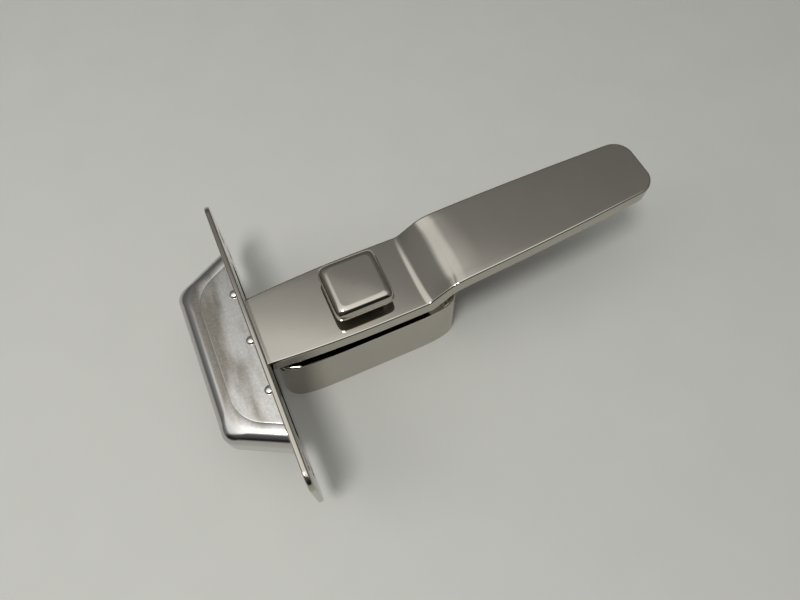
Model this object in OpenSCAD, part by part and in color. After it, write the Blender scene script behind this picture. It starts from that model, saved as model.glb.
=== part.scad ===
// Transom door lever latch: a cranked lever that turns on a block base, a square button that is
// pushed down to lock it, and a plate strike with a pressed cup that takes the lever's tongue.
// Origin on the pivot axis at the underside of the base, +X to the handle, +Z up, in millimetres.

/* [Lever] */
// Greatest width of the lever, near the pivot
lever_w = 32; // [28:0.5:38]
// Thickness of the lever bar
lever_t = 6.6; // [6.2:0.1:9]
// Distance from the pivot to the widest place
lever_widest = 7; // [0:0.5:15]
// Radius of the bowed sides towards the tongue
tongue_bow = 500; // [350:10:900]
// Radius of the bowed sides towards the handle
handle_bow = 1630; // [1000:10:3000]
// How far the tongue reaches past the strike's face
tongue_in = 10.4; // [6:0.2:14]
// Distance from the pivot to the end of the handle
handle_l = 118.6; // [90:0.2:150]
// Distance from the pivot to the foot of the crank
crank_x = 22; // [19:0.2:30]
// Run of the crank along the lever
crank_run = 12; // [8:0.2:18]
// Rise of the crank
crank_rise = 7.6; // [4:0.2:12]
// Slope of the handle, in degrees
handle_pitch = 4.9; // [0:0.1:8]
// Half length of the rounding at the foot of the crank
foot_round = 1.4; // [1:0.2:4]
// Half length of the rounding at the crest of the crank
crest_round = 4.2; // [1:0.2:6]
// Rounding of the long edges
lever_edge = 0.8; // [0.6:0.1:2.6]
// Corner radius of the tongue's tip, in plan
tip_corner = 8; // [4:0.5:11]
// Corner radius of the handle's end, in plan
end_corner = 7; // [4:0.5:11]

/* [Base] */
// Length of the base at its foot
base_l = 75; // [68:0.5:90]
// Width of the base at its foot
base_w = 34; // [32:0.5:42]
// Height of the base
base_h = 26.5; // [24:0.5:34]
// How far each side leans in from foot to top
base_draft = 0.75; // [0.2:0.05:1.5]
// Squareness of the bowed outline
base_square = 6; // [5:0.5:9]
// Rounding of the base's top edge
base_edge = 0.8; // [0.6:0.1:3]
// Wall of the base round its end pockets
base_wall = 3.4; // [2.4:0.1:5]
// Web under the top of the base
web_t = 6.5; // [5:0.1:8]
// Distance from the pivot to each fixing screw
screw_x = 26.5; // [25:0.5:28]
// Core radius of the tapped fixing holes
screw_r = 2.5; // [1.6:0.1:3]
// Depth of the tapped fixing holes
screw_deep = 14; // [10:0.5:17]
// Wall of the screw boss round its hole
screw_wall = 3; // [2:0.1:4]

/* [Pivot] */
// Radius of the post in the lever
post_r = 5; // [4.6:0.1:5.4]
// Radius of the post's shank in the base
shank_r = 6.5; // [5.8:0.1:7.5]
// Radius of the post's foot flange
post_flange_r = 9.5; // [8.5:0.1:10.5]
// Thickness of the post's foot flange
post_flange_t = 3; // [2:0.1:4]
// Gap between the base and the lever
lever_gap = 3.2; // [2.2:0.1:4]
// Thickness of the thrust washer on the base
thrust_t = 1.4; // [0.8:0.1:1.6]
// Radius of the thrust washer and of the bush's flange
thrust_r = 9.5; // [8.5:0.1:12]
// Wall of the bush in the lever
bush_wall = 1.5; // [1:0.1:1.8]
// Thickness of the cap washer
cap_washer_t = 0.9; // [0.6:0.1:1.2]
// Free height of the spring washer
spring_h = 0.7; // [0.5:0.1:0.9]
// Thickness of the spring washer's strip
spring_t = 0.35; // [0.25:0.05:0.45]
// Thickness of the retaining ring on the post
clip_t = 0.8; // [0.6:0.1:1.2]
// Outer radius of the retaining ring on the post
clip_r = 7.2; // [6.8:0.1:7.6]
// Depth of the retaining ring's groove
clip_groove = 0.6; // [0.4:0.1:0.9]
// Length of the post past its retaining ring
post_end = 0.6; // [0.4:0.1:1]
// Radial running clearance of the turning and sliding fits
run_clear = 0.05; // [0.02:0.01:0.08]

/* [Button] */
// Width of the square button at its rim
button_w = 22.6; // [21:0.2:27]
// Height of the button from its rim to the edge of its top
button_h = 4.4; // [3.6:0.1:7]
// Height of the button's crown
button_crown = 0.3; // [0.2:0.1:1.6]
// How flat the middle of the crown stays
crown_flat = 8; // [2:1:12]
// How far the wall leans in from rim to top
button_lean = 0.4; // [0.2:0.1:1.6]
// Squareness of the button's outline
button_square = 9; // [6:0.5:14]
// Rounding of the button's top edge
button_edge = 0.8; // [0.5:0.1:2.2]
// Height of the thin rim at the button's foot
rim_h = 0.7; // [0.4:0.1:1.2]
// Step of the thin rim at the button's foot
rim_step = 0.2; // [0.1:0.05:0.6]
// Travel of the button
travel = 4; // [3:0.1:5]
// Space left under the pressed button
button_rest = 0.3; // [0.2:0.05:0.6]
// Radius of the stem
stem_r = 2.2; // [1.9:0.1:2.5]
// Depth of the stem's seat in the button
stem_seat = 3; // [2:0.1:3.2]
// Radius of the two guide pins
guide_r = 1.25; // [0.9:0.05:1.5]
// Place of the guide pins along X and Y
guide_at = 7.9; // [7.7:0.1:8.3]
// How far the guide pins reach into the lever
guide_in = 1.4; // [1:0.1:1.6]
// Depth of the guide pins' seats in the button
guide_seat = 2.4; // [1.6:0.1:3]

/* [Lock] */
// Radius of the lock disc
disc_r = 12.5; // [12:0.1:13]
// Thickness of the lock disc
disc_t = 5; // [4:0.1:6]
// Step of the casting that the lock disc seats against
disc_step = 1.2; // [1.1:0.05:1.6]
// Radius of the cross pin
pin_r = 1.25; // [0.9:0.05:1.5]
// Length of the cross pin
pin_l = 16; // [13:0.5:19]
// Free space above and below the raised cross pin
pin_gap = 0.5; // [0.3:0.05:0.8]
// Clearance of the cross pin in its slots, on each side
slot_clear = 0.15; // [0.08:0.01:0.3]
// Radius of the dowel that keys the lock disc
dowel_r = 1; // [0.7:0.05:1.05]
// Thickness of the inner retaining ring
ring_t = 1.2; // [0.8:0.1:1.6]
// Depth of the inner retaining ring's groove
ring_groove = 0.8; // [0.5:0.1:1]
// Width of the inner retaining ring
ring_w = 2.2; // [1.6:0.1:3]
// Wall of the two sleeves that guide the stem
sleeve_wall = 0.9; // [0.7:0.05:1.1]
// Thickness of the detent ring on the stem
detent_d = 1; // [0.8:0.1:1.2]
// Depth of the two detent grooves in the stem
detent_deep = 0.2; // [0.1:0.05:0.4]

/* [Strike] */
// Length of the strike plate
plate_l = 113; // [108:0.5:126]
// Height of the strike plate
plate_h = 33; // [29:0.5:40]
// Thickness of the strike plate
plate_t = 2; // [1.8:0.1:3]
// Corner radius of the strike plate
plate_corner = 6; // [3:0.5:9]
// Softening of the strike plate's edges
plate_edge = 0.6; // [0.2:0.05:0.8]
// Gap between the base and the strike plate
door_gap = 0.7; // [0.4:0.1:4]
// How far the strike sits off the lever's centre line
strike_shift = -4.75; // [-6:0.25:6]
// Height of the mouth beyond the tongue's thickness
mouth_play = 1.2; // [1:0.1:4]
// Gap between the tongue and the top of the mouth
hang_gap = 0.3; // [0.2:0.05:0.6]
// Room at each end of the mouth for the swinging tongue
swing_clear = 0.95; // [0.4:0.05:2]
// Corner radius of the mouth
mouth_corner = 2; // [1:0.1:2.5]
// Depth of the cup behind the plate
cup_depth = 20.5; // [15:0.5:28]
// Height of the cup
cup_h = 16; // [14:0.5:20]
// Wall of the cup
cup_wall = 1.5; // [1:0.1:2]
// How far each end of the cup draws in
cup_taper = 11; // [4:0.5:14]
// How far the cup's wall stands outside each end of the mouth
cup_lap = 2.5; // [0.25:0.25:4]
// How far the cup's flat sides close in towards its closed end
cup_close = 0.4; // [0.1:0.05:0.8]
// Rounding between the cup's wall and its flat sides
cup_round = 6; // [3:0.2:6.8]
// Corner radius of the cup's closed end, in plan
cup_corner = 5; // [4:0.5:8]
// How much wider that corner turns on the flat sides
cup_blend = 7; // [2:0.5:9]
// Half spacing of the fixing holes along the plate
hole_y = 46; // [45:0.5:48]
// Half spacing of the fixing holes across the plate
hole_z = 6; // [5.5:0.5:10]
// Radius of the fixing holes
hole_r = 2.1; // [1.6:0.1:2.6]
// Radius of the countersinks
sink_r = 3.6; // [3:0.1:4]
// Radius of the tack welds
weld_r = 1.7; // [1:0.1:2]
// Distance of the tack welds' centres from the plate
weld_out = 0.9; // [0:0.1:1.2]
// Spacing of the tack welds
weld_pitch = 19.5; // [14:0.5:26]

/* [Hidden] */
$fn = 64;

// Heights in the lever's stack
lever_z0 = base_h + lever_gap;
lever_z1 = lever_z0 + lever_t;
thrust_z = base_h + thrust_t;
bush_r = post_r + run_clear + bush_wall;
well_r = clip_r + 0.8;
clip_z0 = lever_z1 - post_end - clip_t - button_rest;
spring_z0 = clip_z0 - spring_h;
well_z = spring_z0 - cap_washer_t;
post_top = clip_z0 + clip_t + post_end;
// Heights in the base
web_z = base_h - web_t;
flange_z = web_z - post_flange_t;
pin_z = flange_z - pin_gap - pin_r;
disc_z1 = pin_z - pin_r - pin_gap;
disc_z0 = disc_z1 - disc_t;
ring_z0 = disc_z0 - ring_t;
pin_room_r = disc_r - disc_step;
stem_bore_r = stem_r + run_clear;
sleeve_r = stem_bore_r + sleeve_wall;
stem_z0 = pin_z - pin_r - 1.2;
detent_z = (flange_z + post_top) / 2;
// Heights of the button
rim_z = lever_z1 + travel + button_rest;
button_z1 = rim_z + button_h;
stem_z1 = rim_z + stem_seat;
guide_z0 = lever_z1 - guide_in;
guide_hole_z = guide_z0 - travel - button_rest;
// Places of the strike
face_x = -(base_l / 2 + door_gap);
back_x = face_x - plate_t;
tip_x = face_x - tongue_in;
mouth_z1 = lever_z1 + hang_gap;
mouth_h = lever_t + mouth_play;
strike_z = mouth_z1 - mouth_h / 2;
tip_swing = norm([-tip_x - tip_corner, lever_half(tip_x) - tip_corner]) + tip_corner;
mouth_l = 2 * (sqrt(pow(tip_swing, 2) - pow(face_x, 2)) + swing_clear + abs(strike_shift));
cup_half = mouth_l / 2 + cup_lap + cup_wall;

// Half width of the lever along its length, bowed on both sides of its widest place
function lever_half(x) =
    lever_w / 2 - pow(x - lever_widest, 2) / (2 * (x < lever_widest ? tongue_bow : handle_bow));

// Height gained by a change of slope that is rounded over a length on each side of it
function turn(x, at, half, slope) =
    x <= at - half ? 0
    : x >= at + half ? slope * (x - at)
    : slope * pow(x - at + half, 2) / (4 * half);

// Slope gained by the same rounded turn
function turn_slope(x, at, half, slope) =
    x <= at - half ? 0
    : x >= at + half ? slope
    : slope * (x - at + half) / (2 * half);

// How far a rounding of radius r draws in at a distance d before its end
function draw_in(d, r) = d >= r ? 0 : r - sqrt(max(0, r * r - pow(r - max(d, 0), 2)));

// Points of a rounded rectangle of half sizes a and b
function soft_rect(a, b, r, n = 4) =
    [for (q = [0:3]) for (i = [0:n])
        let (t = 90 * q + 90 * i / n, sx = (q == 0 || q == 3) ? 1 : -1, sy = q < 2 ? 1 : -1)
        [sx * (a - r) + r * cos(t), sy * (b - r) + r * sin(t)]];

// Points of a bowed rectangle of half sizes a and b, squarer as n rises
function bowed(a, b, n, count = 56) =
    [for (i = [0:count - 1])
        let (c = cos(360 * (i + 0.5) / count), s = sin(360 * (i + 0.5) / count))
        [a * sign(c) * pow(abs(c), 2 / n), b * sign(s) * pow(abs(s), 2 / n)]];

// Solid through a row of closed sections that all have the same number of points
module loft(rings) {
    n = len(rings[0]);
    last = len(rings) - 1;
    sides = [for (k = [0:last - 1]) for (i = [0:n - 1])
        let (a = k * n + i, b = k * n + (i + 1) % n)
        each [[a, b, b + n], [a, b + n, a + n]]];
    start_cap = [[for (i = [n - 1:-1:0]) i]];
    end_cap = [[for (i = [0:n - 1]) last * n + i]];
    polyhedron(points = [for (r = rings) each r],
        faces = [for (f = concat(sides, start_cap, end_cap)) [for (i = [len(f) - 1:-1:0]) f[i]]]);
}

// Flat ring between two radii
module washer(r, bore, z0, t) {
    translate([0, 0, z0])
        difference() {
            cylinder(r = r, h = t);
            translate([0, 0, -1])
                cylinder(r = bore, h = t + 2);
        }
}

// Round rod or bore along Z
module rod(r, z0, z1) {
    translate([0, 0, z0])
        cylinder(r = r, h = z1 - z0);
}

// Both fixing screw places of the base
module at_screws() {
    for (side = [-1, 1])
        translate([side * screw_x, 0, 0])
            children();
}

// Both guide pin places
module at_guides() {
    for (side = [-1, 1])
        translate([side * guide_at, -side * guide_at, 0])
            children();
}

// The dowel's place at the rim of the lock disc, between two slots
module at_dowel() {
    rotate([0, 0, 45])
        translate([disc_r, 0, 0])
            children();
}

// Moves from the strike's own frame, with the plate's face at X = 0, to its place
module at_strike() {
    translate([face_x, strike_shift, strike_z])
        children();
}

// Outside of the base: drafted sides with a rounded top edge
module base_body() {
    function level(z) = base_draft * z / base_h + draw_in(base_h - z, base_edge);
    heights = concat([0], [for (i = [0:5]) base_h - base_edge * (1 - sin(18 * i))]);
    loft([for (z = heights)
        [for (p = bowed(base_l / 2 - level(z), base_w / 2 - level(z), base_square)) [p.x, p.y, z]]]);
}

// The two pockets cast into the underside, clear of the pivot boss and the screw bosses
module base_pockets() {
    inset = base_wall + base_draft;
    difference() {
        translate([0, 0, -1])
            linear_extrude(web_z + 1)
                polygon(bowed(base_l / 2 - inset, base_w / 2 - inset, base_square));
        rod(disc_r + ring_groove + 2, -2, base_h);
        at_screws()
            rod(screw_r + screw_wall, -2, base_h);
    }
}

module base_casting() {
    color("gainsboro")
        difference() {
            base_body();
            base_pockets();
            rod(shank_r, web_z - 1, base_h + 1);
            rod(pin_room_r, disc_z1 - 1, web_z);
            rod(disc_r, -1, disc_z1);
            rod(disc_r + ring_groove, ring_z0, disc_z0);
            at_dowel()
                rod(dowel_r, -1, disc_z1);
            at_screws()
                rod(screw_r, -1, screw_deep);
        }
}

module pivot_post() {
    color("silver")
        difference() {
            union() {
                rod(post_flange_r, flange_z, web_z);
                rod(shank_r, web_z, base_h);
                rod(post_r, base_h, post_top);
            }
            rod(sleeve_r, flange_z - 1, post_top + 1);
            difference() {
                rod(post_r + 1, clip_z0, clip_z0 + clip_t);
                rod(post_r - clip_groove, clip_z0 - 1, clip_z0 + clip_t + 1);
            }
        }
}

module thrust_washer() {
    color("ivory")
        washer(thrust_r, post_r + run_clear, base_h, thrust_t);
}

module lock_disc() {
    slot = 2 * (pin_r + slot_clear);
    color("darkgray")
        difference() {
            rod(disc_r, disc_z0, disc_z1);
            rod(stem_r + 0.4, disc_z0 - 1, disc_z1 + 1);
            for (turned = [0, 90])
                rotate([0, 0, turned])
                    translate([-pin_l / 2 - 0.5, -slot / 2, disc_z0 - 1])
                        cube([pin_l + 1, slot, disc_t + 2]);
            at_dowel()
                rod(dowel_r, disc_z0 - 1, disc_z1 + 1);
        }
}

module lock_dowel() {
    color("silver")
        at_dowel()
            rod(dowel_r, disc_z0, disc_z1);
}

module lock_ring() {
    outer = disc_r + ring_groove;
    color("dimgray")
        difference() {
            washer(outer, outer - ring_w, ring_z0, ring_t);
            translate([0, -1.5, ring_z0 - 1])
                cube([outer + 1, 3, ring_t + 2]);
        }
}

module stem_sleeves() {
    half_gap = detent_d / 2 + 0.05;
    color("ivory") {
        washer(sleeve_r, stem_bore_r, flange_z, detent_z - half_gap - flange_z);
        washer(sleeve_r, stem_bore_r, detent_z + half_gap, post_top - detent_z - half_gap);
    }
}

module detent_ring() {
    color("black")
        translate([0, 0, detent_z])
            rotate_extrude()
                translate([sleeve_r - detent_d / 2, 0])
                    circle(d = min(detent_d, sleeve_wall));
}

module post_clip() {
    groove = post_r - clip_groove;
    color("dimgray")
        difference() {
            washer(clip_r, groove, clip_z0, clip_t);
            translate([0, -groove * 0.75, clip_z0 - 1])
                cube([clip_r + 1, groove * 1.5, clip_t + 2]);
        }
}

// One section across the lever: its width, its height and its soft corners at x
function lever_section(x) =
    let (slope = crank_rise / crank_run,
        top = lever_z1 + turn(x, crank_x, foot_round, slope)
            + turn(x, crank_x + crank_run, crest_round, tan(handle_pitch) - slope),
        lean = turn_slope(x, crank_x, foot_round, slope)
            + turn_slope(x, crank_x + crank_run, crest_round, tan(handle_pitch) - slope),
        deep = lever_t * sqrt(1 + lean * lean),
        nose = draw_in(x - tip_x, lever_edge) + draw_in(handle_l - x, lever_edge),
        half = lever_half(x) - draw_in(x - tip_x, tip_corner) - draw_in(handle_l - x, end_corner))
    [for (p = soft_rect(half, deep / 2 - nose, max(0.05, lever_edge - nose)))
        [x, p.x, top - deep / 2 + p.y]];

// Places of the lever's sections, close together at both ends and through the crank
function lever_places() =
    let (n = 7, crank_x0 = crank_x - foot_round, crank_x1 = crank_x + foot_round,
        crest_x0 = crank_x + crank_run - crest_round, crest_x1 = crank_x + crank_run + crest_round)
    concat(
        [for (i = [0:3]) tip_x + lever_edge * (1 - cos(22.5 * i))],
        [for (i = [0:n]) tip_x + lever_edge + (tip_corner - lever_edge) * pow(i / n, 1.4)],
        [for (i = [1:9]) tip_x + tip_corner + (crank_x0 - tip_x - tip_corner) * i / 10],
        [for (i = [0:6]) crank_x0 + (crank_x1 - crank_x0) * i / 6],
        [for (i = [0:8]) crest_x0 + (crest_x1 - crest_x0) * i / 8],
        [for (i = [1:9]) crest_x1 + (handle_l - end_corner - crest_x1) * i / 10],
        [for (i = [n:-1:0]) handle_l - lever_edge - (end_corner - lever_edge) * pow(i / n, 1.4)],
        [for (i = [3:-1:0]) handle_l - lever_edge * (1 - cos(22.5 * i))]);

module lever() {
    color("lightgray")
        difference() {
            loft([for (x = lever_places()) lever_section(x)]);
            rod(bush_r, lever_z0 - 1, lever_z1 + 1);
            rod(well_r, well_z, lever_z1 + 1);
            at_guides()
                rod(guide_r + run_clear, guide_hole_z, lever_z1 + 1);
        }
}

module pivot_bush() {
    color("ivory")
        difference() {
            union() {
                rod(thrust_r, thrust_z, lever_z0);
                rod(bush_r, thrust_z, well_z);
            }
            rod(post_r + run_clear, thrust_z - 1, well_z + 1);
        }
}

module cap_washer() {
    color("silver")
        washer(clip_r + 0.4, post_r + run_clear, well_z, cap_washer_t);
}

// Dished spring washer between the cap washer and the retaining ring
module spring_washer() {
    rise = spring_h - spring_t;
    inner = post_r + 0.2;
    color("lightsteelblue")
        translate([0, 0, spring_z0])
            rotate_extrude()
                polygon([[inner, rise], [clip_r, 0], [clip_r, spring_t], [inner, spring_h]]);
}

// Outside of the button: a thin rim, a leaning wall, a rounded edge and a crowned top
module button_body() {
    half = button_w / 2;
    foot = half - rim_step;
    function wall_in(z) = button_lean * z / button_h + draw_in(button_h - z, button_edge);
    walls = [for (z = concat([rim_h], [for (i = [0:5]) button_h - button_edge * (1 - sin(18 * i))]))
        [foot - wall_in(z), z]];
    edge = foot - wall_in(button_h);
    crown = [for (s = [0.97, 0.93, 0.88, 0.8, 0.65, 0.35])
        [edge * s, button_h + button_crown * (1 - pow(s, crown_flat))]];
    rows = concat([[half - 0.2, 0], [half, 0.2], [half, rim_h - 0.1], [foot - wall_in(0), rim_h - 0.05]],
        walls, crown);
    loft([for (row = rows)
        [for (p = bowed(row[0], row[0], button_square)) [p.x, p.y, rim_z + row[1]]]]);
}

module push_button() {
    color("lightgray")
        difference() {
            button_body();
            rod(stem_r, rim_z - 1, stem_z1);
            at_guides()
                rod(guide_r, rim_z - 1, rim_z + guide_seat);
        }
}

module button_stem() {
    color("silver")
        difference() {
            rod(stem_r, stem_z0, stem_z1);
            translate([-stem_r - 1, 0, pin_z])
                rotate([0, 90, 0])
                    cylinder(r = pin_r, h = 2 * stem_r + 2);
            for (up = [0, travel])
                translate([0, 0, detent_z + up])
                    rotate_extrude()
                        translate([stem_r + detent_d / 2 - detent_deep, 0])
                            circle(d = detent_d);
        }
}

module cross_pin() {
    color("dimgray")
        translate([-pin_l / 2, 0, pin_z])
            rotate([0, 90, 0])
                cylinder(r = pin_r, h = pin_l);
}

module guide_pins() {
    color("silver")
        at_guides()
            rod(guide_r, guide_z0, rim_z + guide_seat);
}

// A round hole through the plate, in the strike's frame
module plate_bore(y, z, r, x0, x1) {
    translate([x0, y, z])
        rotate([0, 90, 0])
            cylinder(r = r, h = x1 - x0);
}

// The mouth, with its rounded corners, cut right through the plate
module mouth_cut() {
    for (trim = [[mouth_corner, 0], [0, mouth_corner]])
        translate([-plate_t - 1, -mouth_l / 2 + trim[0], -mouth_h / 2 + trim[1]])
            cube([plate_t + 2, mouth_l - 2 * trim[0], mouth_h - 2 * trim[1]]);
    for (sy = [-1, 1]) for (sz = [-1, 1])
        plate_bore(sy * (mouth_l / 2 - mouth_corner), sz * (mouth_h / 2 - mouth_corner),
            mouth_corner, -plate_t - 1, 1);
}

module strike_plate() {
    steps = [[0, plate_edge], [-plate_edge * 0.3, plate_edge * 0.3], [-plate_edge, 0],
        [plate_edge - plate_t, 0], [plate_edge * 0.3 - plate_t, plate_edge * 0.3], [-plate_t, plate_edge]];
    color("lightgray")
        at_strike()
            difference() {
                loft([for (s = steps)
                    [for (p = soft_rect(plate_h / 2 - s[1], plate_l / 2 - s[1], plate_corner - s[1], 8))
                        [s[0], p.y, p.x]]]);
                mouth_cut();
                for (sy = [-1, 1]) for (sz = [-1, 1]) {
                    plate_bore(sy * hole_y, sz * hole_z, hole_r, -plate_t - 1, 1);
                    translate([hole_r - sink_r, sy * hole_y, sz * hole_z])
                        rotate([0, 90, 0])
                            cylinder(r1 = hole_r, r2 = sink_r + 1, h = sink_r + 1 - hole_r);
                }
            }
}

// Outline of the cup in plan, drawn in by an inset, from one end of its mouth to the other
function cup_line(inset, corner, x0) =
    let (lean = cup_taper / cup_depth, slant = norm([1, lean]), end = cup_depth - inset,
        r = min(corner, 0.85 * end), start = atan2(1, lean),
        across = cup_half - lean * (end - r) - (inset + r) * slant,
        half = concat([[x0, cup_half - inset * slant - lean * x0]],
            [for (i = [0:9]) let (t = start * (1 - i / 9)) [end - r + r * cos(t), across + r * sin(t)]]))
    concat(half, [for (i = [len(half) - 1:-1:0]) [half[i].x, -half[i].y]]);

// Pressed shell of the cup: drawn-in ends, flat sides with wide rounded edges, in the strike's frame
module cup_shell(inset, x0) {
    round = cup_round - inset;
    turns = [for (side = [-1, 1]) for (i = [0:6]) [side, 15 * (side < 0 ? 6 - i : i)]];
    loft([for (t = turns)
        let (drawn = round * (1 - cos(t[1])),
            z = t[0] * (cup_h / 2 - inset - round * (1 - sin(t[1]))))
        [for (p = cup_line(inset + drawn, cup_corner - inset + cup_blend * drawn / cup_round, x0))
            [-plate_t - p.x, p.y, z * (1 - 2 * cup_close / cup_h * p.x / cup_depth)]]]);
}

module strike_cup() {
    color("darkgray")
        at_strike()
            difference() {
                cup_shell(0, 0);
                cup_shell(cup_wall, -1);
            }
}

// Beads in the corner between the cup and the back of the plate, above and below
module tack_welds() {
    color("gray")
        at_strike()
            for (k = [-1:1]) for (side = [0, 1])
                mirror([0, 0, side])
                    intersection() {
                        translate([-plate_t - weld_out, k * weld_pitch, cup_h / 2])
                            sphere(r = weld_r);
                        translate([-plate_t - 2 * weld_r, k * weld_pitch - 2 * weld_r, cup_h / 2])
                            cube([2 * weld_r, 4 * weld_r, 2 * weld_r]);
                    }
}

base_casting();
pivot_post();
thrust_washer();
lock_disc();
lock_dowel();
lock_ring();
stem_sleeves();
detent_ring();
post_clip();
lever();
pivot_bush();
cap_washer();
spring_washer();
push_button();
button_stem();
cross_pin();
guide_pins();
strike_plate();
strike_cup();
tack_welds();
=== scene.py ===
import math

import bmesh
import bpy
from mathutils import Matrix, Vector


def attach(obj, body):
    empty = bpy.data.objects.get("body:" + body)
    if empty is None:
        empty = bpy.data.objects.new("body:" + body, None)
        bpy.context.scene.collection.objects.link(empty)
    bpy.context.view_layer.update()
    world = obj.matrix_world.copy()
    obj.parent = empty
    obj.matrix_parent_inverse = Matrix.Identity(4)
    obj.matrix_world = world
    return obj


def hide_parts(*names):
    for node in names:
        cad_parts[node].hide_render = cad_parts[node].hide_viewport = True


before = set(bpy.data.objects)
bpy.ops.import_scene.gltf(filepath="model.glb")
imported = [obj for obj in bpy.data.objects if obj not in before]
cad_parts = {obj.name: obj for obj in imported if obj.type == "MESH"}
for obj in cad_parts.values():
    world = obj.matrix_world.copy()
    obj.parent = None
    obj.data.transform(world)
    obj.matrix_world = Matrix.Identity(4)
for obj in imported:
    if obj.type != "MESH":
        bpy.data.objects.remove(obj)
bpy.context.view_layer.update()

# Base block.
# Investment-cast stainless block that is screwed to the door from behind. Its bowed sides lean in a
# little for draft and are polished to a near mirror; the hollow underside is left blasted.
MM = 0.001
BASE_L, BASE_W, BASE_H = 75.0, 34.0, 26.5
BASE_DRAFT, BASE_EDGE, BASE_SQUARE = 0.75, 1.0, 6
BASE_WALL, WEB_Z = 3.4, 20.0
PIVOT_BOSS_R, SCREW_BOSS_R, SCREW_X, SCREW_R, SCREW_DEEP = 15.3, 5.5, 26.5, 2.5, 14.0
DISC_R, GROOVE_R, PIN_ROOM_R, SHANK_R = 12.5, 13.3, 11.3, 6.5
GROOVE_Z0, GROOVE_Z1, DISC_TOP_Z = 7.3, 8.5, 13.5
# How far a cutting tool reaches past a face.
PAST = 1.0
LOCK_BORE = [(0, -PAST), (DISC_R, -PAST), (DISC_R, GROOVE_Z0), (GROOVE_R, GROOVE_Z0), (GROOVE_R, GROOVE_Z1),
             (DISC_R, GROOVE_Z1), (DISC_R, DISC_TOP_Z), (PIN_ROOM_R, DISC_TOP_Z), (PIN_ROOM_R, WEB_Z),
             (SHANK_R, WEB_Z), (SHANK_R, BASE_H + PAST), (0, BASE_H + PAST)]
# How far in from the sides and down from the top the polish reaches.
POLISH_IN, POLISH_DOWN = 2.0, 1.0


def linear(hex_colour):
    """An sRGB hex colour as linear RGBA."""
    parts = [int(hex_colour[i:i + 2], 16) / 255 for i in (1, 3, 5)]
    return [p / 12.92 if p <= 0.04045 else ((p + 0.055) / 1.055) ** 2.4 for p in parts] + [1.0]


def add(tree, kind, inputs=None, **settings):
    """A node with its settings; each input is a value or the socket that feeds it."""
    made = tree.nodes.new(kind)
    for name, value in settings.items():
        setattr(made, name, value)
    for name, value in (inputs or {}).items():
        if isinstance(value, bpy.types.NodeSocket):
            tree.links.new(value, made.inputs[name])
        else:
            made.inputs[name].default_value = value
    return made


def finish_of(name):
    """An empty material with its shader, and Object coordinates to lay patterns on."""
    made = bpy.data.materials.new(name)
    made.use_nodes = True
    tree = made.node_tree
    tree.nodes.clear()
    shader = add(tree, "ShaderNodeBsdfPrincipled")
    add(tree, "ShaderNodeOutputMaterial", {"Surface": shader.outputs["BSDF"]})
    return made, tree, shader, add(tree, "ShaderNodeTexCoord").outputs["Object"]


def every(mm):
    """Texture scale that repeats a pattern about every so many millimetres."""
    return 1 / (mm * MM)


def piece(name, shape, body, slot, *finishes, stands_for=()):
    """An object of the shape, in millimetres, with its finishes, on its body."""
    bmesh.ops.recalc_face_normals(shape, faces=shape.faces)
    mesh = bpy.data.meshes.new(name)
    shape.to_mesh(mesh)
    shape.free()
    mesh.transform(Matrix.Scale(MM, 4))
    made = bpy.data.objects.new(name, mesh)
    bpy.context.scene.collection.objects.link(made)
    for finish in finishes:
        mesh.materials.append(finish)
    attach(made, body)
    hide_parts(*stands_for)
    return made


def cut_away(made, *tools):
    """Cuts closed tool shapes, in millimetres, out of a piece, one after the other."""
    for tool in tools:
        bmesh.ops.recalc_face_normals(tool, faces=tool.faces)
        mesh = bpy.data.meshes.new("tool")
        tool.to_mesh(mesh)
        tool.free()
        mesh.transform(Matrix.Scale(MM, 4))
        cutter = bpy.data.objects.new("tool", mesh)
        bpy.context.scene.collection.objects.link(cutter)
        cut = made.modifiers.new("cut", "BOOLEAN")
        cut.operation, cut.solver, cut.object = "DIFFERENCE", "EXACT", cutter
        graph = bpy.context.evaluated_depsgraph_get()
        result = bpy.data.meshes.new_from_object(made.evaluated_get(graph))
        made.modifiers.clear()
        old, made.data = made.data, result
        result.name = made.name
        for gone in (old, mesh):
            bpy.data.meshes.remove(gone)


def smooth(made, sharp=35):
    """Smooth shading that keeps flat faces flat and edges over the angle crisp."""
    made.data.polygons.foreach_set("use_smooth", [True] * len(made.data.polygons))
    made.data.set_sharp_from_angle(angle=math.radians(sharp))
    even = made.modifiers.new("even", "WEIGHTED_NORMAL")
    even.keep_sharp = True


def turned(profile, steps=96, at=(0, 0, 0), axis="Z"):
    """A profile of radius and height spun round the Z axis, then turned to X if asked and put in place."""
    shape = bmesh.new()
    points = [shape.verts.new((r, 0, z)) for r, z in profile]
    for a, b in zip(points, points[1:]):
        shape.edges.new((a, b))
    bmesh.ops.spin(shape, geom=shape.verts[:] + shape.edges[:], cent=(0, 0, 0), axis=(0, 0, 1),
                   dvec=(0, 0, 0), angle=math.tau, steps=steps, use_merge=True)
    bmesh.ops.remove_doubles(shape, verts=shape.verts, dist=1e-5)
    if axis == "X":
        quarter = Matrix.Rotation(math.pi / 2, 3, "Y")
        bmesh.ops.rotate(shape, verts=shape.verts, cent=(0, 0, 0), matrix=quarter)
    bmesh.ops.translate(shape, verts=shape.verts, vec=at)
    return shape


def rod(radius, z0, z1, x=0.0, y=0.0):
    """A closed cylinder along Z between two heights."""
    return turned([(0, z0), (radius, z0), (radius, z1), (0, z1)], at=(x, y, 0))


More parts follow.
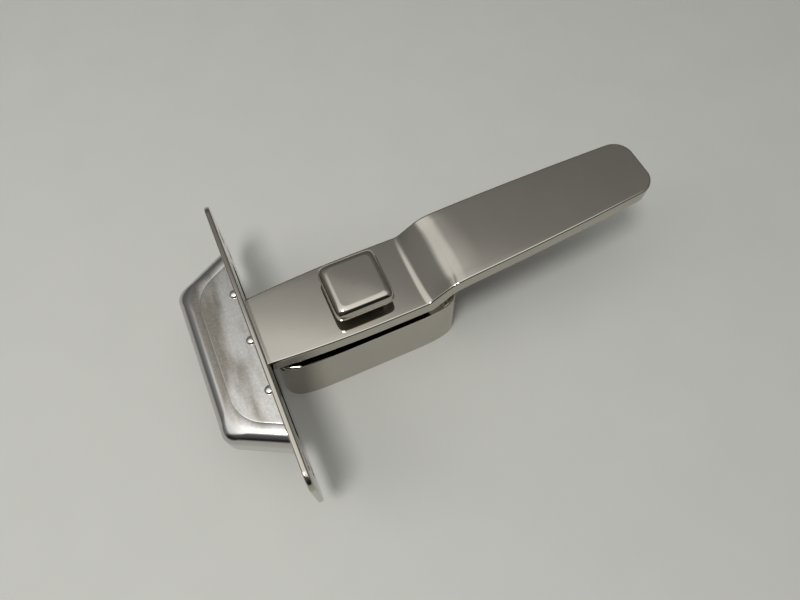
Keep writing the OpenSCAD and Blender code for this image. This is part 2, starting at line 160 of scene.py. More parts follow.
def bowed_slab(half_l, half_w, square, z0, z1, lean=0.0, cells=(60, 30)):
    """A slab with a bowed outline: one face, pushed out to the bow and extruded."""
    shape = bmesh.new()
    bmesh.ops.create_grid(shape, x_segments=cells[0], y_segments=cells[1], size=1)
    bmesh.ops.dissolve_faces(shape, faces=shape.faces)
    for v in shape.verts:
        reach = (abs(v.co.x) ** square + abs(v.co.y) ** square) ** (1 / square)
        v.co = (v.co.x / reach * half_l, v.co.y / reach * half_w, z0)
    raised = bmesh.ops.extrude_face_region(shape, geom=shape.faces[:])["geom"]
    top = [g for g in raised if isinstance(g, bmesh.types.BMVert)]
    for v in top:
        v.co.x *= (half_l - lean) / half_l
        v.co.y *= (half_w - lean) / half_w
        v.co.z = z1
    return shape


polished, tree, shader, place = finish_of("polished_stainless")
# Cast 316 stainless, buffed: a warm grey near mirror, with a faint swell left by the casting and
# fine lines from the buffing wheel that only dull the reflection a little.
swell = add(tree, "ShaderNodeTexNoise", {"Vector": place, "Scale": every(14), "Detail": 2.0})
stretch = add(tree, "ShaderNodeMapping", {"Vector": place, "Scale": (1.0, 22.0, 22.0)})
lines = add(tree, "ShaderNodeTexNoise", {"Vector": stretch.outputs["Vector"], "Scale": every(9),
                                         "Detail": 4.0})
dull = add(tree, "ShaderNodeMapRange", {"Value": lines.outputs["Fac"], "From Min": 0.3, "From Max": 0.75,
                                        "To Min": 0.05, "To Max": 0.085})
tone = add(tree, "ShaderNodeMix", {"Factor": swell.outputs["Fac"], "A": linear("#B5B0A5"),
                                   "B": linear("#BCB7AC")}, data_type="RGBA")
tree.links.new(tone.outputs["Result"], shader.inputs["Base Color"])
tree.links.new(dull.outputs["Result"], shader.inputs["Roughness"])
relief = add(tree, "ShaderNodeBump", {"Height": swell.outputs["Fac"], "Strength": 0.12,
                                      "Distance": 0.02 * MM})
tree.links.new(relief.outputs["Normal"], shader.inputs["Normal"])
shader.inputs["Metallic"].default_value = 1.0

blasted, tree, shader, place = finish_of("blasted_casting")
# The same casting as it leaves the blast cabinet: even, pale and matt, with a fine grit that is drawn
# at 0.5 mm so that it shows.
grit = add(tree, "ShaderNodeTexNoise", {"Vector": place, "Scale": every(0.5), "Detail": 3.0})
tone = add(tree, "ShaderNodeMix", {"Factor": grit.outputs["Fac"], "A": linear("#8F8D88"),
                                   "B": linear("#A9A7A1")}, data_type="RGBA")
tree.links.new(tone.outputs["Result"], shader.inputs["Base Color"])
relief = add(tree, "ShaderNodeBump", {"Height": grit.outputs["Fac"], "Strength": 0.5, "Distance": 0.08 * MM})
tree.links.new(relief.outputs["Normal"], shader.inputs["Normal"])
shader.inputs["Metallic"].default_value = 1.0
shader.inputs["Roughness"].default_value = 0.52

block = bowed_slab(BASE_L / 2, BASE_W / 2, BASE_SQUARE, 0, BASE_H, BASE_DRAFT)
rim = [e for e in block.edges if all(v.co.z > BASE_H - 0.01 for v in e.verts)]
bmesh.ops.bevel(block, geom=rim, offset=BASE_EDGE, offset_type="OFFSET", segments=8, profile=0.5,
                affect="EDGES", material=-1)
base_block = piece("base_block", block, "base", "polished_stainless", polished, blasted,
                   stands_for=["base_casting"])
# The pocket is made as an object of its own, so that the bosses can be cut out of it first.
inset = BASE_WALL + BASE_DRAFT
pocket = bowed_slab(BASE_L / 2 - inset, BASE_W / 2 - inset, BASE_SQUARE, -PAST, WEB_Z)
pocket_tool = piece("pocket_tool", pocket, "base", "polished_stainless")
cut_away(pocket_tool, rod(PIVOT_BOSS_R, -2 * PAST, BASE_H), rod(SCREW_BOSS_R, -2 * PAST, BASE_H, SCREW_X),
         rod(SCREW_BOSS_R, -2 * PAST, BASE_H, -SCREW_X))
pockets = bmesh.new()
pockets.from_mesh(pocket_tool.data)
pockets.transform(Matrix.Scale(1 / MM, 4))
bpy.data.meshes.remove(pocket_tool.data)
cut_away(base_block, pockets, turned(LOCK_BORE), rod(SCREW_R, -PAST, SCREW_DEEP, SCREW_X),
         rod(SCREW_R, -PAST, SCREW_DEEP, -SCREW_X))
for face in base_block.data.polygons:
    along = face.center.x / MM / (BASE_L / 2 - POLISH_IN)
    across = face.center.y / MM / (BASE_W / 2 - POLISH_IN)
    inside = abs(along) ** BASE_SQUARE + abs(across) ** BASE_SQUARE < 1
    face.material_index = 1 if inside and face.center.z < (BASE_H - POLISH_DOWN) * MM else 0
smooth(base_block)

# Inside pieces: post, lock disc, stem, pins, washers, rings and bushes.
# Turned stainless, spring steel, acetal and nitrile, pressed, snapped or stacked together inside the casting,
# the lever and the button. Their CAD meshes stay as they are and only get their finishes here.
turned_steel, tree, shader, place = finish_of("turned_stainless")
# Lathe-turned 316: rings left by the tool, 0.4 mm apart so that they show, in a soft bright grey. Blender's
# wave texture runs 20 radians along each unit of its scale.
RING_PITCH, WAVE_RATE = 0.4, 20
rings = add(tree, "ShaderNodeTexWave", {"Vector": place, "Scale": every(RING_PITCH) * math.tau / WAVE_RATE,
                                        "Distortion": 0.4, "Detail": 1.0},
            wave_type="RINGS", rings_direction="Z")
dull = add(tree, "ShaderNodeMapRange", {"Value": rings.outputs["Fac"], "To Min": 0.18, "To Max": 0.34})
tree.links.new(dull.outputs["Result"], shader.inputs["Roughness"])
relief = add(tree, "ShaderNodeBump", {"Height": rings.outputs["Fac"], "Strength": 0.2, "Distance": 0.02 * MM})
tree.links.new(relief.outputs["Normal"], shader.inputs["Normal"])
shader.inputs["Base Color"].default_value = linear("#C9C8C4")
shader.inputs["Metallic"].default_value = 1.0

spring_steel, tree, shader, place = finish_of("spring_steel")
# Hardened strip, tumbled: darker and greyer than the turned parts, with a fine mottle.
mottle = add(tree, "ShaderNodeTexNoise", {"Vector": place, "Scale": every(0.8), "Detail": 3.0})
tone = add(tree, "ShaderNodeMix", {"Factor": mottle.outputs["Fac"], "A": linear("#7D7D7E"),
                                   "B": linear("#9B9B9A")}, data_type="RGBA")
tree.links.new(tone.outputs["Result"], shader.inputs["Base Color"])
shader.inputs["Metallic"].default_value = 1.0
shader.inputs["Roughness"].default_value = 0.32

acetal, tree, shader, place = finish_of("natural_acetal")
# Machined acetal: off-white and waxy, with faint tool marks.
marks = add(tree, "ShaderNodeTexNoise", {"Vector": place, "Scale": every(0.6), "Detail": 2.0})
tone = add(tree, "ShaderNodeMix", {"Factor": marks.outputs["Fac"], "A": linear("#D9D5C8"),
                                   "B": linear("#E8E5DA")}, data_type="RGBA")
tree.links.new(tone.outputs["Result"], shader.inputs["Base Color"])
shader.inputs["Roughness"].default_value = 0.42
shader.inputs["IOR"].default_value = 1.48

nitrile, tree, shader, place = finish_of("nitrile_rubber")
# Moulded nitrile: black with a slight bloom.
bloom = add(tree, "ShaderNodeTexNoise", {"Vector": place, "Scale": every(0.7), "Detail": 2.0})
tone = add(tree, "ShaderNodeMix", {"Factor": bloom.outputs["Fac"], "A": linear("#161616"),
                                   "B": linear("#2A2A29")}, data_type="RGBA")
tree.links.new(tone.outputs["Result"], shader.inputs["Base Color"])
shader.inputs["Roughness"].default_value = 0.6

CARRIED_OVER = {
    turned_steel: ["pivot_post", "lock_disc", "lock_dowel", "cap_washer", "button_stem", "cross_pin",
                   "guide_pins"],
    spring_steel: ["lock_ring", "post_clip", "spring_washer"],
    acetal: ["thrust_washer", "stem_sleeves", "pivot_bush"],
    nitrile: ["detent_ring"],
}
for finish, nodes in CARRIED_OVER.items():
    for name in nodes:
        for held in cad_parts[name].material_slots:
            held.material = finish

# Lever.
# One cast stainless bar: a bowed blank with rounded ends, cranked up once so that the handle clears the
# base, with all its edges eased before it is buffed. It turns on the bush in its bore.
TIP_X, END_X = -48.6, 118.6
LEVER_W, LEVER_T, LEVER_TOP, LEVER_EDGE = 32.0, 6.6, 36.3, 0.8
WIDEST_X, TONGUE_BOW, HANDLE_BOW = 7.0, 500.0, 1630.0
# Where each bend of the crank lies, half its length and the slope that it adds.
CRANK_BENDS = [(22.0, 1.4, 0.633), (31.5, 1.5, -0.313), (33.6, 0.3, 0.09), (34.4, 0.3, -0.12),
               (36.2, 1.6, -0.15), (42.0, 4.0, -0.0555)]
# Along the crank, how far the edges of the lever run ahead of its middle, towards the handle.
CRANK_DRAW, DRAW_POWER = [(12.0, 0.0), (22.0, 0.8), (34.0, -1.2), (46.0, 0.0)], 4
TIP_CORNER, END_CORNER = 8.0, 7.0
BUSH_R, WELL_R, WELL_Z = 6.55, 8.0, 33.0
GUIDE_AT, GUIDE_R, GUIDE_HOLE_Z = 7.9, 1.3, 30.6
UNDER_LEVER, OVER_LEVER = 20.0, 50.0
# Rows of the mesh along and across the bar.
TONGUE_PITCH, HANDLE_X, HANDLE_PITCH = 4.0, 48.0, 6.0
CRANK_ROWS = [20.0, 33.3, 33.6, 33.9, 34.1, 34.4, 25.0, 27.0]
ROWS_ACROSS = (-10.0, -8.0, -5.0, -2.5, 0.0, 2.5, 5.0, 8.0, 10.0)


def lever_half(x):
    """Half the lever's width at x, bowed more towards the tongue than towards the handle."""
    bow = TONGUE_BOW if x < WIDEST_X else HANDLE_BOW
    return LEVER_W / 2 - (x - WIDEST_X) ** 2 / (2 * bow)


def bend(x, at, half, slope):
    """Height and slope gained by a change of slope that is rounded over a length on each side."""
    if x <= at - half:
        return 0.0, 0.0
    if x >= at + half:
        return slope * (x - at), slope
    return slope * (x - at + half) ** 2 / (4 * half), slope * (x - at + half) / (2 * half)


def lever_top(x):
    """Height of the lever's top and its slope at x."""
    gained = [bend(x, *turn) for turn in CRANK_BENDS]
    return LEVER_TOP + sum(g[0] for g in gained), sum(g[1] for g in gained)


def drawn(x):
    """How far the foot and the crest of the crank draw together at the edges of the lever."""
    for (a, start), (b, end) in zip(CRANK_DRAW, CRANK_DRAW[1:]):
        if a < x <= b:
            return start + (end - start) * (x - a) / (b - a)
    return 0.0


bar = bmesh.new()
bmesh.ops.create_cube(bar, size=1)
for v in bar.verts:
    end = TIP_X if v.co.x < 0 else END_X
    v.co = (end, math.copysign(lever_half(end), v.co.y), v.co.z * LEVER_T)
for end, corner in ((TIP_X, TIP_CORNER), (END_X, END_CORNER)):
    uprights = [e for e in bar.edges if abs(e.verts[0].co.z - e.verts[1].co.z) > 1
                and abs(e.verts[0].co.x - end) < 0.1]
    bmesh.ops.bevel(bar, geom=uprights, offset=corner, offset_type="OFFSET", segments=16, profile=0.5,
                    affect="EDGES", material=-1)
tongue_rows = [TIP_X + TIP_CORNER + TONGUE_PITCH * i for i in range(15)]
bend_rows = [at + half * i / 5 for at, half, slope in CRANK_BENDS if half > 1 for i in range(-5, 6)]
handle_rows = [HANDLE_X + HANDLE_PITCH * i for i in range(11)]
cuts = [((x, 0, 0), (1, 0, 0)) for x in tongue_rows + bend_rows + CRANK_ROWS + handle_rows]
cuts += [((0, y, 0), (0, 1, 0)) for y in ROWS_ACROSS]
for at, normal in cuts:
    bmesh.ops.bisect_plane(bar, geom=bar.verts[:] + bar.edges[:] + bar.faces[:], plane_co=at, plane_no=normal)
for v in bar.verts:
    share = (v.co.x - TIP_X) / (END_X - TIP_X)
    straight = lever_half(TIP_X) * (1 - share) + lever_half(END_X) * share
    top, slope = lever_top(v.co.x)
    v.co.x += drawn(v.co.x) * min(1, abs(v.co.y) / straight) ** DRAW_POWER
    v.co.y *= lever_half(v.co.x) / straight
    v.co.z = top if v.co.z > 0 else top - LEVER_T * math.hypot(1, slope)
bar.normal_update()
bmesh.ops.recalc_face_normals(bar, faces=bar.faces)
eased = [e for e in bar.edges if len(e.link_faces) == 2 and e.calc_face_angle() > math.radians(60)]
bmesh.ops.bevel(bar, geom=eased, offset=LEVER_EDGE, offset_type="OFFSET", segments=6, profile=0.5,
                affect="EDGES", material=-1)
lever_bar = piece("lever_bar", bar, "lever", "polished_stainless", polished, stands_for=["lever"])
cut_away(lever_bar, rod(BUSH_R, UNDER_LEVER, OVER_LEVER), rod(WELL_R, WELL_Z, OVER_LEVER),
         rod(GUIDE_R, GUIDE_HOLE_Z, OVER_LEVER, GUIDE_AT, -GUIDE_AT),
         rod(GUIDE_R, GUIDE_HOLE_Z, OVER_LEVER, -GUIDE_AT, GUIDE_AT))
smooth(lever_bar)

# Button.
# Cast stainless cap, square with bowed sides, a leaning wall, a thin rim to lift it by and a faintly swelled
# top with a soft shoulder. It is fixed on the stem and keyed by two guide pins.
RIM_Z, RIM_H, RIM_STEP, RIM_EDGE = 40.6, 0.7, 0.15, 0.14
BUTTON_W, BUTTON_H, BUTTON_LEAN, BUTTON_SWELL, BUTTON_SQUARE = 22.6, 4.55, 0.15, 0.1, 9
# Tilt in degrees and length of each step of the edge, from the wall up to the top, then rows on the top.
EDGE_TURN = [(85, 0.25), (77, 0.25), (69, 0.25), (61, 0.3), (55, 0.4), (47, 0.45), (39, 0.4), (31, 0.25),
             (23, 0.3), (18, 0.3), (15, 0.3), (12, 0.3), (8, 0.2)]
TOP_ROWS = (0.97, 0.9, 0.8, 0.65, 0.5, 0.3, 0.12)
STEM_R, STEM_SEAT, PIN_R, PIN_SEAT, UNDER_BUTTON = 2.2, 3.0, 1.25, 2.4, 38.0

cap = bowed_slab(BUTTON_W / 2, BUTTON_W / 2, BUTTON_SQUARE, RIM_Z, RIM_Z + RIM_H, cells=(32, 32))
face = max(cap.faces, key=lambda f: f.calc_center_median().z)
foot = BUTTON_W / 2 - RIM_STEP
wall_top = BUTTON_H - sum(length * math.sin(math.radians(tilt)) for tilt, length in EDGE_TURN)
rows = [(foot - BUTTON_LEAN * z / BUTTON_H, z) for z in (RIM_H, wall_top)]
for tilt, length in EDGE_TURN:
    half, z = rows[-1]
    rows.append((half - length * math.cos(math.radians(tilt)), z + length * math.sin(math.radians(tilt))))
top_half = rows[-1][0]
rows += [(top_half * share, BUTTON_H) for share in TOP_ROWS]
for half, z in rows:
    pulled = bmesh.ops.extrude_face_region(cap, geom=[face])["geom"]
    bmesh.ops.delete(cap, geom=[face], context="FACES_ONLY")
    face = next(g for g in pulled if isinstance(g, bmesh.types.BMFace))
    size = max(abs(v.co.x) for v in face.verts)
    for v in face.verts:
        v.co = (v.co.x * half / size, v.co.y * half / size, RIM_Z + z)
for v in cap.verts:
    u, w = min(1, abs(v.co.x / top_half)), min(1, abs(v.co.y / top_half))
    if v.co.z > RIM_Z + BUTTON_H - 0.001:
        v.co.z += BUTTON_SWELL * (1 - u * u) * (1 - w * w)
bmesh.ops.recalc_face_normals(cap, faces=cap.faces)
rim = [e for e in cap.edges if e.calc_face_angle(0) > math.radians(50)
       and e.verts[0].co.z < RIM_Z + RIM_H + 0.1]
bmesh.ops.bevel(cap, geom=rim, offset=RIM_EDGE, offset_type="OFFSET", segments=3, profile=0.5,
                affect="EDGES", material=-1)
square_button = piece("square_button", cap, "button", "polished_stainless", polished, blasted,
                      stands_for=["push_button"])
cut_away(square_button, rod(STEM_R, UNDER_BUTTON, RIM_Z + STEM_SEAT),
         rod(PIN_R, UNDER_BUTTON, RIM_Z + PIN_SEAT, GUIDE_AT, -GUIDE_AT),
         rod(PIN_R, UNDER_BUTTON, RIM_Z + PIN_SEAT, -GUIDE_AT, GUIDE_AT))
for face in square_button.data.polygons:
    face.material_index = 1 if face.normal.z < -0.5 else 0
smooth(square_button)

# Strike plate.
# Flat stainless plate with rounded corners, eased edges, a long mouth for the tongue and two
# countersunk screw holes at each end. It is polished on both sides and screwed to the door frame.
FACE_X, PLATE_T, PLATE_L, PLATE_H, PLATE_CORNER, PLATE_EDGE = -38.2, 2.0, 113.0, 33.0, 6.0, 0.6
STRIKE_Y, STRIKE_Z = -4.75, 32.7
MOUTH_L, MOUTH_H, MOUTH_CORNER = 72.5, 7.8, 2.0
HOLE_Y, HOLE_Z, HOLE_R, SINK_R = 46.0, 6.0, 2.1, 3.6


def soft_box(x0, x1, half_y, half_z, corner, segments=12):
    """A block along X with rounded corners, at the strike's centre."""
    shape = bmesh.new()
    bmesh.ops.create_cube(shape, size=1)
    for v in shape.verts:
        v.co = (x0 if v.co.x < 0 else x1, STRIKE_Y + 2 * half_y * v.co.y, STRIKE_Z + 2 * half_z * v.co.z)
    along = [e for e in shape.edges if abs(e.verts[0].co.x - e.verts[1].co.x) > 0.5 * (x1 - x0)]
    bmesh.ops.bevel(shape, geom=along, offset=corner, offset_type="OFFSET", segments=segments, profile=0.5,
                    affect="EDGES", material=-1)
    return shape


sheet = soft_box(FACE_X - PLATE_T, FACE_X, PLATE_L / 2, PLATE_H / 2, PLATE_CORNER)
bmesh.ops.recalc_face_normals(sheet, faces=sheet.faces)
eased = [e for e in sheet.edges if e.calc_face_angle(0) > math.radians(60)]
bmesh.ops.bevel(sheet, geom=eased, offset=PLATE_EDGE, offset_type="OFFSET", segments=4, profile=0.5,
                affect="EDGES", material=-1)
strike_face = piece("strike_face", sheet, "base", "polished_stainless", polished, stands_for=["strike_plate"])
mouth = soft_box(FACE_X - PLATE_T - PAST, FACE_X + PAST, MOUTH_L / 2, MOUTH_H / 2, MOUTH_CORNER)
sink = [(0, -PLATE_T - PAST), (HOLE_R, -PLATE_T - PAST), (HOLE_R, HOLE_R - SINK_R), (SINK_R + PAST, PAST),
        (0, PAST)]
screws = [turned(sink, 64, (FACE_X, STRIKE_Y + sy * HOLE_Y, STRIKE_Z + sz * HOLE_Z), "X")
          for sy in (-1, 1) for sz in (-1, 1)]
cut_away(strike_face, mouth, *screws)
smooth(strike_face)

# Strike cup.
# Pressed from stainless sheet: a shallow pan with drawn-in ends and a rounded closed end, whose flat
# sides carry a faint line where the press tool stopped. It is left as pressed and tacked to the plate.
BACK_X, CUP_DEPTH, CUP_HALF, CUP_H, CUP_WALL = -40.2, 20.5, 40.25, 16.0, 1.5
CUP_TAPER, CUP_CLOSE, CUP_ROUND, CUP_CORNER, CUP_BLEND = 11.0, 0.4, 5.0, 5.0, 8.0
# How far in from the rounded edge, and how deep, the line of the press tool runs.
PRESS_LINE = [(0.8, 0.02), (1.6, -0.04), (1.8, -0.12), (2.0, -0.12), (2.2, -0.03), (3.2, -0.1), (3.4, -0.02)]
ROUND_STEPS, CORNER_STEPS, SIDE_STEPS = 8, 14, 6

pressed, tree, shader, place = finish_of("pressed_stainless")
# Sheet 304 after pressing and pickling: the rounded edges are burnished by the die, the flat sides stay
# grainy, with cloudy grey-brown streaks along the cup. The grain is drawn at 0.9 mm so that it shows.
facing = add(tree, "ShaderNodeSeparateXYZ", {"Vector": add(tree, "ShaderNodeNewGeometry").outputs["Normal"]})
level = add(tree, "ShaderNodeMath", {0: facing.outputs["Z"]}, operation="ABSOLUTE")
flat = add(tree, "ShaderNodeMapRange", {"Value": level.outputs["Value"], "From Min": 0.975,
                                        "From Max": 0.998}, interpolation_type="SMOOTHSTEP")
stretch = add(tree, "ShaderNodeMapping", {"Vector": place, "Scale": (2.6, 0.8, 1.0)})
cloud = add(tree, "ShaderNodeTexNoise", {"Vector": stretch.outputs["Vector"], "Scale": every(26),
                                         "Detail": 4.0, "Roughness": 0.5})
haze = add(tree, "ShaderNodeMapRange", {"Value": cloud.outputs["Fac"], "From Min": 0.42, "From Max": 0.6})
grain = add(tree, "ShaderNodeTexNoise", {"Vector": place, "Scale": every(0.9), "Detail": 4.0,
                                         "Roughness": 0.7})
speck = add(tree, "ShaderNodeMapRange", {"Value": grain.outputs["Fac"], "From Min": 0.3, "From Max": 0.7})
bright = add(tree, "ShaderNodeMix", {"Factor": speck.outputs["Result"], "A": linear("#B5B3AE"),
                                     "B": linear("#CDCBC6")}, data_type="RGBA")
dark = add(tree, "ShaderNodeMix", {"Factor": speck.outputs["Result"], "A": linear("#7E7A71"),
                                   "B": linear("#989288")}, data_type="RGBA")
side = add(tree, "ShaderNodeMix", {"Factor": haze.outputs["Result"], "A": bright.outputs["Result"],
                                   "B": dark.outputs["Result"]}, data_type="RGBA")
tone = add(tree, "ShaderNodeMix", {"Factor": flat.outputs["Result"], "A": linear("#C4C3BF"),
                                   "B": side.outputs["Result"]}, data_type="RGBA")
tree.links.new(tone.outputs["Result"], shader.inputs["Base Color"])
dull = add(tree, "ShaderNodeMapRange", {"Value": flat.outputs["Result"], "To Min": 0.13, "To Max": 0.3})
tree.links.new(dull.outputs["Result"], shader.inputs["Roughness"])
rough = add(tree, "ShaderNodeMath", {0: grain.outputs["Fac"], 1: flat.outputs["Result"]},
            operation="MULTIPLY")
relief = add(tree, "ShaderNodeBump", {"Height": rough.outputs["Value"], "Strength": 0.3,
                                      "Distance": 0.05 * MM})
tree.links.new(relief.outputs["Normal"], shader.inputs["Normal"])
shader.inputs["Metallic"].default_value = 1.0


def cup_line(inset, corner):
    """Points along the cup's outline in plan, from mouth to mouth, drawn in by an inset."""
    lean = CUP_TAPER / CUP_DEPTH
    slant = math.hypot(1, lean)
    end = CUP_DEPTH - inset
    middle = end - corner
    across = CUP_HALF - lean * middle - inset * slant - corner * slant
    start = math.atan2(1, lean)
    angles = [start * (1 - i / CORNER_STEPS) for i in range(CORNER_STEPS + 1)]
    arc = [(middle + corner * math.cos(angle), across + corner * math.sin(angle)) for angle in angles]
    mouth_y = CUP_HALF - inset * slant
    shares = [i / SIDE_STEPS for i in range(SIDE_STEPS)]
    wall = [(arc[0][0] * share, mouth_y + (arc[0][1] - mouth_y) * share) for share in shares]
    half = wall + arc + [(end, arc[-1][1] * (1 - share)) for share in shares[1:]]
    return half + [(end, 0.0)] + [(u, -y) for u, y in reversed(half)]


def cup_points(inset, corner, z):
    """The same points in place, at a height above the cup's middle that falls a little to the closed end."""
    return [(BACK_X - u, STRIKE_Y + y, z * (1 - 2 * CUP_CLOSE / CUP_H * u / CUP_DEPTH))
            for u, y in cup_line(inset, corner)]


rows = []
for i in range(ROUND_STEPS + 1):
    turn = math.radians(90 * i / ROUND_STEPS)
    inset = CUP_ROUND * (1 - math.cos(turn))
    corner = CUP_CORNER + CUP_BLEND * inset / CUP_ROUND
    rows.append((inset, corner, CUP_H / 2 - CUP_ROUND * (1 - math.sin(turn))))
rows += [(CUP_ROUND + step, CUP_CORNER + CUP_BLEND, CUP_H / 2 + sunk) for step, sunk in PRESS_LINE]
pan = bmesh.new()
line = [pan.verts.new(point) for point in cup_points(0.0, CUP_CORNER, 0.0)]
edge = [pan.edges.new(pair) for pair in zip(line, line[1:])]
for row in rows:
    along = {tuple(v.co): i for i, v in enumerate(line)}
    pulled = bmesh.ops.extrude_edge_only(pan, edges=edge)["geom"]
    line = sorted((g for g in pulled if isinstance(g, bmesh.types.BMVert)), key=lambda v: along[tuple(v.co)])
    edge = [pan.edges.get(pair) for pair in zip(line, line[1:])]
    for v, point in zip(line, cup_points(*row)):
        v.co = point
pan.faces.new(line)
bmesh.ops.mirror(pan, geom=pan.verts[:] + pan.edges[:] + pan.faces[:], axis="Z", merge_dist=1e-4)
bmesh.ops.translate(pan, verts=pan.verts, vec=(0, 0, STRIKE_Z))
bmesh.ops.recalc_face_normals(pan, faces=pan.faces)
bmesh.ops.solidify(pan, geom=pan.faces[:], thickness=CUP_WALL)
for v in pan.verts:
    v.co.x = min(v.co.x, BACK_X)
strike_pan = piece("strike_pan", pan, "base", "pressed_stainless", pressed, stands_for=["strike_cup"])
smooth(strike_pan)

# Tack welds.
# Six small beads in the corner between the cup and the back of the plate, three above and three below,
# bright because they were wiped after welding.
WELD_R, WELD_RISE, WELD_OUT, WELD_PITCH, WELD_GAP = 1.7, 0.9, 0.9, 19.5, 0.01

bead_steel, tree, shader, place = finish_of("wiped_weld")
# Weld metal that froze in ripples about 0.5 mm apart, brighter than the sheet round it.
ripple = add(tree, "ShaderNodeTexNoise", {"Vector": place, "Scale": every(0.5), "Detail": 2.0})
relief = add(tree, "ShaderNodeBump", {"Height": ripple.outputs["Fac"], "Strength": 0.3,
                                      "Distance": 0.05 * MM})
tree.links.new(relief.outputs["Normal"], shader.inputs["Normal"])
shader.inputs["Base Color"].default_value = linear("#D6D3CB")
shader.inputs["Metallic"].default_value = 1.0
shader.inputs["Roughness"].default_value = 0.16

beads = bmesh.new()
for k in (-1, 0, 1):
    for side in (-1, 1):
        drop = bmesh.ops.create_icosphere(beads, subdivisions=4, radius=WELD_R)["verts"]
        bmesh.ops.scale(beads, verts=drop, vec=(1.0, 1.0, WELD_RISE / WELD_R))
        spot = (BACK_X - WELD_OUT, STRIKE_Y + k * WELD_PITCH, STRIKE_Z + side * CUP_H / 2)
        bmesh.ops.translate(beads, verts=drop, vec=spot)
bmesh.ops.bisect_plane(beads, geom=beads.verts[:] + beads.edges[:] + beads.faces[:],
                       plane_co=(BACK_X - WELD_GAP, 0, 0), plane_no=(1, 0, 0), clear_outer=True)
inner = [v for v in beads.verts if abs(v.co.z - STRIKE_Z) < CUP_H / 2 - CUP_CLOSE]
bmesh.ops.delete(beads, geom=inner, context="VERTS")
bmesh.ops.holes_fill(beads, edges=[e for e in beads.edges if e.is_boundary], sides=0)
weld_beads = piece("weld_beads", beads, "base", "pressed_stainless", bead_steel, stands_for=["tack_welds"])
smooth(weld_beads, 50)

# Table, light and camera.
# A plain pale table; a lamp overhead to the left, whose glow the polish mirrors, and a weak fill lamp that it
# doesn't; a dim room, darkest behind the photograph's camera, with a pale backdrop. Sizes are in metres.
TABLE_HALF = 1.6
LAMP_FROM, LAMP_SIZE, LAMP_WATTS = Vector((-0.231, -0.184, 0.784)), 0.2, 3.7
FILL_FROM, FILL_SIZE, FILL_WATTS = Vector((-0.55, 0.12, 0.4)), 0.5, 0.9
# Cosine of the angle from the lamp, and how bright the room is there.
GLOW = [(0.0, 0.12), (0.42, 0.17), (0.583, 0.25), (0.656, 0.3), (0.68, 0.34), (0.7, 0.45), (0.7266, 0.58),
        (0.743, 0.75), (0.7597, 0.95), (0.788, 1.02), (0.85, 1.1), (0.92, 1.3), (0.96, 1.7), (1.0, 2.6)]
BEHIND, BEHIND_FADE, BEHIND_LEVEL = (0.41, 0.91, 0.0), (-0.55, -0.38), 0.1
BACKDROP, HORIZON_FADE = 0.45, (0.02, 0.12)
CAMERA_AT, CAMERA_TURN, CAMERA_LENS = (-0.02816, -0.097437, 0.230318), (0.4631, -0.0065, -0.4267), 26.71

laminate, tree, shader, place = finish_of("pale_table_top")
# Pale grey melamine table top: matt, with a barely visible mottle.
speckle = add(tree, "ShaderNodeTexNoise", {"Vector": place, "Scale": every(25), "Detail": 3.0})
tone = add(tree, "ShaderNodeMix", {"Factor": speckle.outputs["Fac"], "A": linear("#AFAFA9"),
                                   "B": linear("#B4B4AE")}, data_type="RGBA")
tree.links.new(tone.outputs["Result"], shader.inputs["Base Color"])
shader.inputs["Roughness"].default_value = 0.6
shader.inputs["Specular IOR Level"].default_value = 0.2

top = bmesh.new()
bmesh.ops.create_grid(top, x_segments=1, y_segments=1, size=TABLE_HALF)
mesh = bpy.data.meshes.new("table_top")
top.to_mesh(mesh)
top.free()
mesh.materials.append(laminate)
table_top = bpy.data.objects.new("table_top", mesh)
bpy.context.scene.collection.objects.link(table_top)

for name, start, size, watts, mirrored in (("lamp", LAMP_FROM, LAMP_SIZE, LAMP_WATTS, True),
                                           ("fill", FILL_FROM, FILL_SIZE, FILL_WATTS, False)):
    light = bpy.data.lights.new(name, "AREA")
    light.shape, light.size, light.energy = "DISK", size, watts
    lamp = bpy.data.objects.new(name, light)
    lamp.location, lamp.rotation_euler = start, (-start).to_track_quat("-Z", "Y").to_euler()
    lamp.visible_glossy = mirrored
    bpy.context.scene.collection.objects.link(lamp)

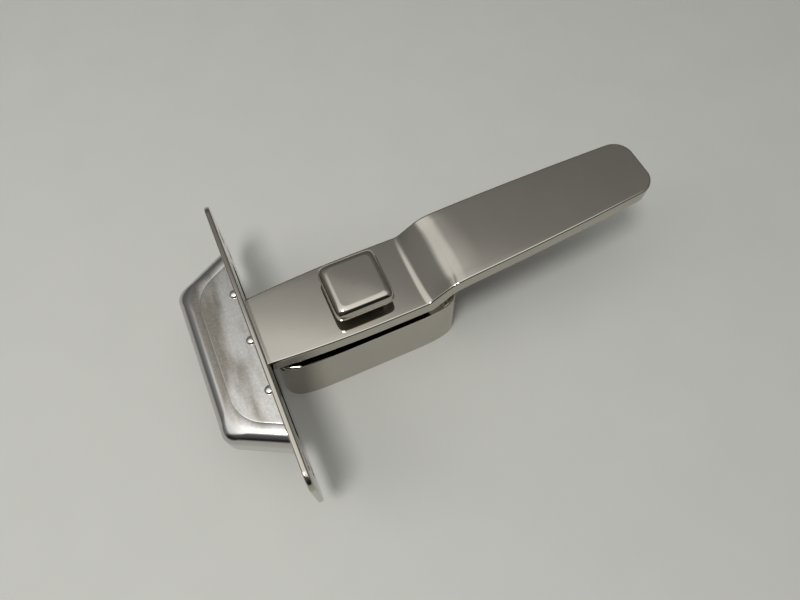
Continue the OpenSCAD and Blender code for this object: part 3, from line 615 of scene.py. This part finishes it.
room = bpy.data.worlds.new("room")
room.use_nodes = True
tree = room.node_tree
tree.nodes.clear()
toward = add(tree, "ShaderNodeTexCoord").outputs["Generated"]
near_lamp = add(tree, "ShaderNodeVectorMath", {0: toward, 1: LAMP_FROM.normalized()}, operation="DOT_PRODUCT")
glow = add(tree, "ShaderNodeValToRGB", {"Fac": near_lamp.outputs["Value"]})
for i, (near, shine) in enumerate(GLOW):
    stop = glow.color_ramp.elements[0] if i == 0 else glow.color_ramp.elements.new(near)
    stop.position, stop.color = near, (shine, shine, shine, 1.0)
glow.color_ramp.elements.remove(glow.color_ramp.elements[-1])
behind = add(tree, "ShaderNodeVectorMath", {0: toward, 1: BEHIND}, operation="DOT_PRODUCT")
clear = add(tree, "ShaderNodeMapRange", {"Value": behind.outputs["Value"], "From Min": BEHIND_FADE[0],
                                         "From Max": BEHIND_FADE[1], "To Min": BEHIND_LEVEL, "To Max": 1.0},
            interpolation_type="SMOOTHSTEP")
above = add(tree, "ShaderNodeMath", {0: glow.outputs["Color"], 1: clear.outputs["Result"]},
            operation="MULTIPLY")
height = add(tree, "ShaderNodeSeparateXYZ", {"Vector": toward})
around = add(tree, "ShaderNodeMapRange", {"Value": height.outputs["Z"], "From Min": HORIZON_FADE[0],
                                          "From Max": HORIZON_FADE[1], "To Min": BACKDROP, "To Max": 0.0},
             interpolation_type="SMOOTHSTEP")
level = add(tree, "ShaderNodeMath", {0: above.outputs["Value"], 1: around.outputs["Result"]},
            operation="MAXIMUM")
seen = add(tree, "ShaderNodeMix", {"Factor": add(tree, "ShaderNodeLightPath").outputs["Is Camera Ray"],
                                   "A": level.outputs["Value"], "B": BACKDROP})
sky = add(tree, "ShaderNodeBackground", {"Color": (1.0, 1.0, 1.0, 1.0), "Strength": seen.outputs["Result"]})
add(tree, "ShaderNodeOutputWorld", {"Surface": sky.outputs["Background"]})
bpy.context.scene.world = room

view = bpy.data.cameras.new("camera")
view.sensor_fit, view.sensor_width, view.lens = "HORIZONTAL", 36.0, CAMERA_LENS
view.clip_start, view.clip_end = 0.01, 10.0
camera = bpy.data.objects.new("camera", view)
camera.location, camera.rotation_euler = CAMERA_AT, CAMERA_TURN
bpy.context.scene.collection.objects.link(camera)
bpy.context.scene.camera = camera
bpy.context.scene.view_settings.view_transform = "Standard"
